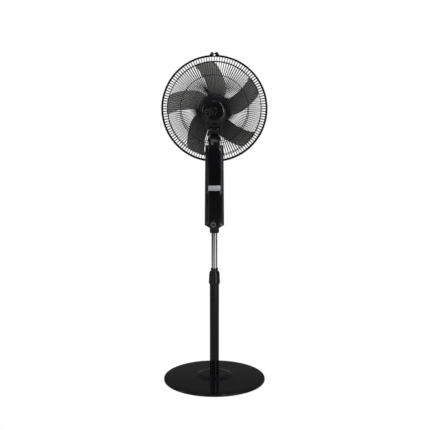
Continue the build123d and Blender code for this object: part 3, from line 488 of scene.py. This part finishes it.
# %% Geometry Nodes: copies in a circle
def circle_tree(name, as_wire):
    """A tree that copies its input round Z, first thickening it if it is a curve."""
    tree = bpy.data.node_groups.new(name, "GeometryNodeTree")
    face = tree.interface
    face.new_socket("Geometry", in_out="INPUT", socket_type="NodeSocketGeometry")
    face.new_socket("Count", in_out="INPUT", socket_type="NodeSocketInt")
    face.new_socket("Wire Radius", in_out="INPUT", socket_type="NodeSocketFloat")
    face.new_socket("Material", in_out="INPUT", socket_type="NodeSocketMaterial")
    face.new_socket("Geometry", in_out="OUTPUT", socket_type="NodeSocketGeometry")
    entry = tree.nodes.new("NodeGroupInput")
    leave = tree.nodes.new("NodeGroupOutput")
    single = entry.outputs["Geometry"]
    if as_wire:
        ring = add(tree, "GeometryNodeCurvePrimitiveCircle",
                   {"Radius": entry.outputs["Wire Radius"]}, {"Resolution": 8})
        thick = add(tree, "GeometryNodeCurveToMesh",
                    {"Curve": single, "Profile Curve": ring.outputs["Curve"]}, {"Fill Caps": True})
        single = thick.outputs["Mesh"]
    points = add(tree, "GeometryNodePoints", {"Count": entry.outputs["Count"]})
    index = add(tree, "GeometryNodeInputIndex")
    share = add(tree, "ShaderNodeMath", {0: index.outputs[0], 1: entry.outputs["Count"]},
                operation="DIVIDE")
    angle = add(tree, "ShaderNodeMath", {0: share.outputs[0]}, {1: 2 * math.pi},
                operation="MULTIPLY")
    turn = add(tree, "ShaderNodeCombineXYZ", {"Z": angle.outputs[0]})
    copies = add(tree, "GeometryNodeInstanceOnPoints",
                 {"Points": points.outputs[0], "Instance": single, "Rotation": turn.outputs[0]})
    real = add(tree, "GeometryNodeRealizeInstances", {"Geometry": copies.outputs[0]})
    shade = add(tree, "GeometryNodeSetMaterial",
                {"Geometry": real.outputs[0], "Material": entry.outputs["Material"]})
    tree.links.new(shade.outputs[0], leave.inputs[0])
    return tree


def run_tree(tree, source, **values):
    """Runs a tree on an object and returns the plain mesh; the source object is removed."""
    bpy.context.scene.collection.objects.link(source)
    modifier = source.modifiers.new("nodes", "NODES")
    modifier.node_group = tree
    for item in tree.interface.items_tree:
        if item.in_out == "INPUT" and item.name in values:
            modifier[item.identifier] = values[item.name]
    mesh = baked_copy(source)
    source.modifiers.remove(modifier)
    bpy.data.objects.remove(source)
    return mesh


wire_tree = circle_tree("guard_wires", True)
copy_tree = circle_tree("copies_in_a_circle", False)


# %% [markdown]
# The screws at the back show a pan head with a cross recess. One head is cut, and a second tree
# puts a copy on each point of a small cloud, one point where each CAD screw has its head.


# %% Cross-recess screws
def points_tree():
    """A tree that puts copies of its input on every vertex of another object."""
    tree = bpy.data.node_groups.new("copies_on_points", "GeometryNodeTree")
    face = tree.interface
    face.new_socket("Geometry", in_out="INPUT", socket_type="NodeSocketGeometry")
    face.new_socket("Spots", in_out="INPUT", socket_type="NodeSocketObject")
    face.new_socket("Material", in_out="INPUT", socket_type="NodeSocketMaterial")
    face.new_socket("Geometry", in_out="OUTPUT", socket_type="NodeSocketGeometry")
    entry = tree.nodes.new("NodeGroupInput")
    leave = tree.nodes.new("NodeGroupOutput")
    spots = add(tree, "GeometryNodeObjectInfo", {"Object": entry.outputs["Spots"]})
    cloud = add(tree, "GeometryNodeMeshToPoints", {"Mesh": spots.outputs["Geometry"]})
    copies = add(tree, "GeometryNodeInstanceOnPoints",
                 {"Points": cloud.outputs[0], "Instance": entry.outputs["Geometry"]})
    real = add(tree, "GeometryNodeRealizeInstances", {"Geometry": copies.outputs[0]})
    shade = add(tree, "GeometryNodeSetMaterial",
                {"Geometry": real.outputs[0], "Material": entry.outputs["Material"]})
    tree.links.new(shade.outputs[0], leave.inputs[0])
    return tree


def islands(node):
    """The low and high corner of every loose part of a CAD node."""
    mesh = NODES[node].data
    work = bmesh.new()
    work.from_mesh(mesh)
    bmesh.ops.remove_doubles(work, verts=work.verts, dist=0.001 * MM)
    left = set(work.verts)
    boxes = []
    while left:
        group = [left.pop()]
        for vertex in group:
            for edge in vertex.link_edges:
                other = edge.other_vert(vertex)
                if other in left:
                    left.discard(other)
                    group.append(other)
        corner = [[f(v.co[k] for v in group) for k in range(3)] for f in (min, max)]
        boxes.append((Vector(corner[0]), Vector(corner[1])))
    work.free()
    return boxes


def screw_head(radius, height, shank, length):
    """A pan-head screw pointing along -Y, its head ending at the origin."""
    outline = rounded([(0, 0), (radius * 0.8, 0), (radius, -height * 0.55), (radius, -height),
                       (shank, -height), (shank, -length), (0, -length)],
                      [0, radius * 0.3, radius * 0.25, 0, 0, 0.2, 0], 4)
    body = bpy.data.objects.new("screw", lathe(outline, 40))
    cutter_mesh = bpy.data.meshes.new("cross")
    work = bmesh.new()
    for long, thin in ((radius * 0.62, radius * 0.14), (radius * 0.14, radius * 0.62)):
        made = bmesh.ops.create_cube(work, size=1.0)["verts"]
        bmesh.ops.scale(work, verts=made, vec=(2 * long * MM, 2 * thin * MM, 1.2 * height * MM))
    work.to_mesh(cutter_mesh)
    work.free()
    cutter = bpy.data.objects.new("cross", cutter_mesh)
    for piece in (body, cutter):
        bpy.context.scene.collection.objects.link(piece)
    cut = body.modifiers.new("recess", "BOOLEAN")
    cut.object = cutter
    cut.solver = "EXACT"
    mesh = baked_copy(body)
    bpy.data.objects.remove(body)
    bpy.data.objects.remove(cutter)
    mesh.transform(Matrix.Rotation(math.radians(-90), 4, "X"))
    smooth_by_angle(mesh, 35)
    return mesh


def screws(node, radius, height, shank):
    """Replaces a node of CAD screws that face +Y by cross-recess ones at the same places."""
    boxes = islands(node)
    spots_mesh = bpy.data.meshes.new("spots")
    spots_mesh.from_pydata([((low.x + high.x) / 2, high.y, (low.z + high.z) / 2)
                            for low, high in boxes], [], [])
    spots = bpy.data.objects.new("spots", spots_mesh)
    bpy.context.scene.collection.objects.link(spots)
    length = min(high.y - low.y for low, high in boxes) / MM
    single = bpy.data.objects.new("single", screw_head(radius, height, shank, length))
    mesh = run_tree(on_points, single, Spots=spots, Material=zinc)
    bpy.data.objects.remove(spots)
    new_piece(node + "_cross_recess", mesh, zinc, BODY_OF[node], node)
    print(node, len(boxes), "screws")


on_points = points_tree()
HEAD_RADIUS, HEAD_HEIGHT, SHANK_RADIUS = 2.6, 1.4, 1.5
for screw_node in ("column_screws", "neck_screws"):
    screws(screw_node, HEAD_RADIUS, HEAD_HEIGHT, SHANK_RADIUS)

# %% Guards
WIRE = 1.2
RING_WIRE = 1.3
HUB_RING_WIRE = 2.0
RIM_RING_WIRE = 2.4
WIRE_COUNT = 120
RIM_RADIUS = 214.5
INNER_RING = 140
STAY_RING = 194


def path_object(points):
    """A poly curve through points in millimetres."""
    curve = bpy.data.curves.new("wire_path", "CURVE")
    curve.dimensions = "3D"
    spline = curve.splines.new("POLY")
    spline.points.add(len(points) - 1)
    for target, (x, y, z) in zip(spline.points, points):
        target.co = (x * MM, y * MM, z * MM, 1)
    return bpy.data.objects.new("wire_path", curve)


def arc_through(start, middle, end, steps):
    """Points on the circle through three (radius, height) points."""
    ax, ay = start
    bx, by = middle
    cx, cy = end
    d = 2 * (ax * (by - cy) + bx * (cy - ay) + cx * (ay - by))
    ux = ((ax * ax + ay * ay) * (by - cy) + (bx * bx + by * by) * (cy - ay)
          + (cx * cx + cy * cy) * (ay - by)) / d
    uy = ((ax * ax + ay * ay) * (cx - bx) + (bx * bx + by * by) * (ax - cx)
          + (cx * cx + cy * cy) * (bx - ax)) / d
    radius = math.hypot(ax - ux, ay - uy)
    first = math.atan2(ay - uy, ax - ux)
    last = math.atan2(cy - uy, cx - ux)
    return [(ux + radius * math.cos(first + (last - first) * k / steps),
             uy + radius * math.sin(first + (last - first) * k / steps)) for k in range(steps + 1)]


def torus_outline(radius, height, wire, steps=10):
    """The round section of a ring of wire, as an outline for the lathe."""
    return [(radius + wire * math.cos(2 * math.pi * k / steps),
             height + wire * math.sin(2 * math.pi * k / steps)) for k in range(steps)]


def join_meshes(meshes, turn):
    """One mesh from several, turned into place."""
    work = bmesh.new()
    for mesh in meshes:
        work.from_mesh(mesh)
    bmesh.ops.transform(work, matrix=turn, verts=work.verts)
    joined = bpy.data.meshes.new("joined")
    for face in work.faces:
        face.smooth = True
        face.material_index = 0
    work.to_mesh(joined)
    work.free()
    return joined


def guard(name, node, hub, hub_y, flat, flat_y, rim_y):
    """A wire guard built about Z and turned onto the fan's axis."""
    bend = math.sqrt(0.5)
    corner = (flat + (RIM_RADIUS - flat) * bend, rim_y + (flat_y - rim_y) * bend)
    arc = arc_through((flat, flat_y), corner, (RIM_RADIUS, rim_y), 14)
    profile = [(hub, hub_y), ((hub + flat) / 2, (hub_y + flat_y) / 2)] + arc
    source = path_object([(r, 0, h) for r, h in profile])
    wires = run_tree(wire_tree, source, Count=WIRE_COUNT,
                     **{"Wire Radius": WIRE * MM, "Material": wire_coat})
    inside = 1 if rim_y > flat_y else -1
    inner_y = hub_y + (flat_y - hub_y) * (INNER_RING - hub) / (flat - hub)
    stay = min(arc, key=lambda p: abs(p[0] - STAY_RING))
    rings = [torus_outline(hub, hub_y, HUB_RING_WIRE),
             torus_outline(INNER_RING, inner_y + inside * 1.5, RING_WIRE),
             torus_outline(stay[0] - 1.0, stay[1] + inside * 1.3, RING_WIRE),
             torus_outline(RIM_RADIUS, rim_y, RIM_RING_WIRE)]
    meshes = [wires] + [lathe(ring, 160, closed=True) for ring in rings]
    mesh = join_meshes(meshes, HEAD)
    new_piece(name, mesh, wire_coat, "head", node)
    print(name, len(mesh.polygons))


guard("rear_guard_wires", "rear_guard", 42.0, -50.0, 150.0, -53.0, -106.0)
guard("front_guard_wires", "front_guard", 46.0, -170.0, 148.0, -160.0, -112.0)

# %% [markdown]
# The blade is one moulding: five broad, swept vanes on a hub. Each vane is a grid whose
# edges follow two swept curves, tilted by a pitch that falls towards the tip, hollowed a
# little like a spoon, and given its wall by a Solidify modifier.


# %% Blade
def between(table, radius):
    """The value at a radius, on straight lines between (radius, value) pairs."""
    for (r0, v0), (r1, v1) in zip(table, table[1:]):
        if radius <= r1:
            t = (radius - r0) / (r1 - r0)
            return v0 + (v1 - v0) * t
    return table[-1][1]


BLADE_ROOT = 26.0
BLADE_TIP = 195.8
BLADE_MIDDLE = -87.0
BLADE_SWEEP = 12.0
ROOT_PITCH = 28.0
PITCH_FALL = 12.0
PITCH_START = 5.0
PITCH_REACH = 211.0
SPOON_DEPTH = 5.0
SPOON_FULL_FROM = 80.0
TIP_ROUND = 14.0
TIP_SHRINK = 7.0
VANE_COUNT = 5
VANE_WALL = 2.0
VANE_EDGE = 0.6
LEAD_EDGE = [(24, 18), (70, 17.5), (108, 17.6), (125, 18.3), (150, 20), (175, 22.5), (196, 25)]
TRAIL_EDGE = [(24, -46), (50, -43), (70, -38.75), (90, -32.6), (108, -26), (125, -19.4),
              (141, -13.75), (165, -7), (185, -2.2), (196, -0.5)]


def blade_point(radius, share):
    """A point of a vane, share running from its trailing to its leading edge."""
    lead = between(LEAD_EDGE, radius)
    trail = between(TRAIL_EDGE, radius)
    ease = max(0.0, (radius - (BLADE_TIP - TIP_ROUND)) / TIP_ROUND)
    shrink = TIP_SHRINK * (1 - math.sqrt(max(0.0, 1 - ease * ease)))
    angle = math.radians(trail + shrink + (lead - trail - 2 * shrink * 0.75) * share)
    x = radius * math.cos(angle - math.radians(BLADE_SWEEP))
    y = radius * math.sin(angle - math.radians(BLADE_SWEEP))
    fall = PITCH_FALL * min(1, max(0, (x - PITCH_START) / PITCH_REACH))
    pitch = math.radians(ROOT_PITCH - fall)
    hollow = SPOON_DEPTH * (1 - (2 * share - 1) ** 2) * min(1, radius / SPOON_FULL_FROM)
    height = y * math.tan(pitch) - hollow + 2.0
    turn = math.radians(BLADE_SWEEP)
    return Vector(((x * math.cos(turn) - y * math.sin(turn)) * MM,
                   (x * math.sin(turn) + y * math.cos(turn)) * MM,
                   (height + BLADE_MIDDLE) * MM))


def vane():
    """One vane as a grid with a wall."""
    across, along = 26, 40
    work = bmesh.new()
    grid = []
    for i in range(along + 1):
        share = 1 - (1 - i / along) ** 1.25
        radius = BLADE_ROOT + (BLADE_TIP - BLADE_ROOT) * share
        grid.append([work.verts.new(blade_point(radius, j / across)) for j in range(across + 1)])
    for low, high in zip(grid, grid[1:]):
        for j in range(across):
            work.faces.new((low[j], low[j + 1], high[j + 1], high[j]))
    mesh = bpy.data.meshes.new("vane")
    work.to_mesh(mesh)
    work.free()
    piece = bpy.data.objects.new("vane", mesh)
    bpy.context.scene.collection.objects.link(piece)
    wall = piece.modifiers.new("wall", "SOLIDIFY")
    wall.thickness = VANE_WALL * MM
    wall.offset = 0
    rim_bevel = piece.modifiers.new("rim", "BEVEL")
    rim_bevel.width = VANE_EDGE * MM
    rim_bevel.segments = 2
    rim_bevel.limit_method = "ANGLE"
    rim_bevel.angle_limit = math.radians(60)
    finished = baked_copy(piece)
    bpy.data.objects.remove(piece)
    return finished


hub_outline = rounded(
    [(0, -99), (28, -99), (28, -64), (25, -64), (25, -95), (0, -95)], [0, 3, 1, 1, 1, 0])
vanes = run_tree(copy_tree, bpy.data.objects.new("vane_copy", vane()), Count=VANE_COUNT,
                 Material=smoke_resin)
turned_vanes = bmesh.new()
turned_vanes.from_mesh(vanes)
bmesh.ops.rotate(turned_vanes, verts=turned_vanes.verts,
                 matrix=Matrix.Rotation(-math.pi / 2, 3, "Z"))
turned_vanes.to_mesh(vanes)
turned_vanes.free()
blade_mesh = join_meshes([vanes, lathe(hub_outline, 96)], HEAD)
smooth_by_angle(blade_mesh, 45)
new_piece("blade_moulded", blade_mesh, smoke_resin, "rotor", "blade")
print("blade faces", len(blade_mesh.polygons))

# %% Spinner
spinner_outline = rounded(
    [(4, -99), (24, -99), (23.5, -106), (20, -113), (8, -115), (0, -115)], [0, 0.6, 5, 6, 5, 0])
new_piece("spinner_turned", lathe(spinner_outline, 96, turn=HEAD), satin_abs, "rotor", "spinner")

# %% [markdown]
# Studio: a white floor running into a white backdrop, the way catalogue shots are made. A black
# gloss part shows only what it mirrors, so the room it mirrors is dim: the white of the floor
# and of the backdrop is meant for the camera, and a few large soft panels draw the highlights.
# Two broad lights only brighten matt surfaces: left out of reflections, they put no pale patch
# on the gloss.


# %% Floor and backdrop
def camera_only_white(tree, dim_shader, bright):
    """Plain white light for rays straight from the camera, another shader for the rest."""
    path = add(tree, "ShaderNodeLightPath")
    white = add(tree, bright, inputs={"Color": linear("#ffffff"), "Strength": 1.0})
    return add(tree, "ShaderNodeMixShader",
               {0: path.outputs["Is Camera Ray"], 1: dim_shader, 2: white.outputs[0]}).outputs[0]


paper, tree, place = start_material("matt_paper_floor")
speckle = add(tree, "ShaderNodeTexNoise", {"Vector": place}, {"Scale": 3.0})
tone = add(tree, "ShaderNodeMix", {"Factor": speckle.outputs["Fac"]}, data_type="RGBA")
tone.inputs["A"].default_value = linear("#8c8c8c")
tone.inputs["B"].default_value = linear("#949494")
matt = add(tree, "ShaderNodeBsdfPrincipled", {"Base Color": tone.outputs["Result"]},
           {"Roughness": 0.9})
seen = camera_only_white(tree, matt.outputs["BSDF"], "ShaderNodeEmission")
add(tree, "ShaderNodeOutputMaterial", {"Surface": seen})

floor_mesh = bpy.data.meshes.new("floor")
reach = 12.0
floor_mesh.from_pydata([(-reach, -reach, 0), (reach, -reach, 0), (reach, reach, 0),
                        (-reach, reach, 0)], [], [(0, 1, 2, 3)])
floor = bpy.data.objects.new("floor", floor_mesh)
bpy.context.scene.collection.objects.link(floor)
dress(floor, paper)

world = bpy.data.worlds.new("studio")
bpy.context.scene.world = world
world.use_nodes = True
sky = world.node_tree
sky.nodes.clear()
dim = add(sky, "ShaderNodeBackground", inputs={"Color": linear("#ffffff"), "Strength": 0.08})
shown = camera_only_white(sky, dim.outputs[0], "ShaderNodeBackground")
add(sky, "ShaderNodeOutputWorld", {"Surface": shown})
bpy.context.scene.view_settings.view_transform = "Standard"


# %% Lights and camera
def softbox(name, place, aim, size, power):
    """A large square light at a place, turned towards a point."""
    light = bpy.data.lights.new(name, "AREA")
    light.shape = "RECTANGLE"
    light.size, light.size_y = size
    light.energy = power
    holder = bpy.data.objects.new(name, light)
    bpy.context.scene.collection.objects.link(holder)
    holder.location = place
    holder.visible_camera = False
    holder.rotation_euler = (Vector(aim) - Vector(place)).to_track_quat("-Z", "Y").to_euler()
    return holder


top_light = softbox("top_light", (0.2, 1.0, 3.6), (0, 0, 0.7), (4.4, 3.0), 150)
top_light.visible_glossy = False
front_light = softbox("front_light", (-0.4, -2.4, 4.2), (0, 0, 0.9), (3.0, 1.6), 12)
front_light.visible_glossy = False
softbox("right_panel", (-1.15, 1.37, 0.62), (0, 0, 0.62), (1.25, 1.2), 4.2)
softbox("left_panel", (0.95, 1.7, 0.62), (0, 0, 0.62), (0.8, 1.2), 1.2)
softbox("key_light", (-1.3, 3.3, 1.9), (0, 0, 0.9), (0.45, 2.4), 12)
softbox("left_light", (3.0, 0.6, 1.6), (0, 0, 0.9), (0.8, 2.2), 7)
softbox("high_fill", (0.0, 2.7, 2.9), (0, 0, 1.0), (1.0, 0.5), 2)

camera_data = bpy.data.cameras.new("camera")
camera_data.lens = 75.1
camera_data.sensor_width = 36
camera = bpy.data.objects.new("camera", camera_data)
bpy.context.scene.collection.objects.link(camera)
camera.location = (-0.0025, 3.63, 1.319)
camera.rotation_euler = (math.radians(90 - 9.6), 0, math.radians(180))
bpy.context.scene.camera = camera
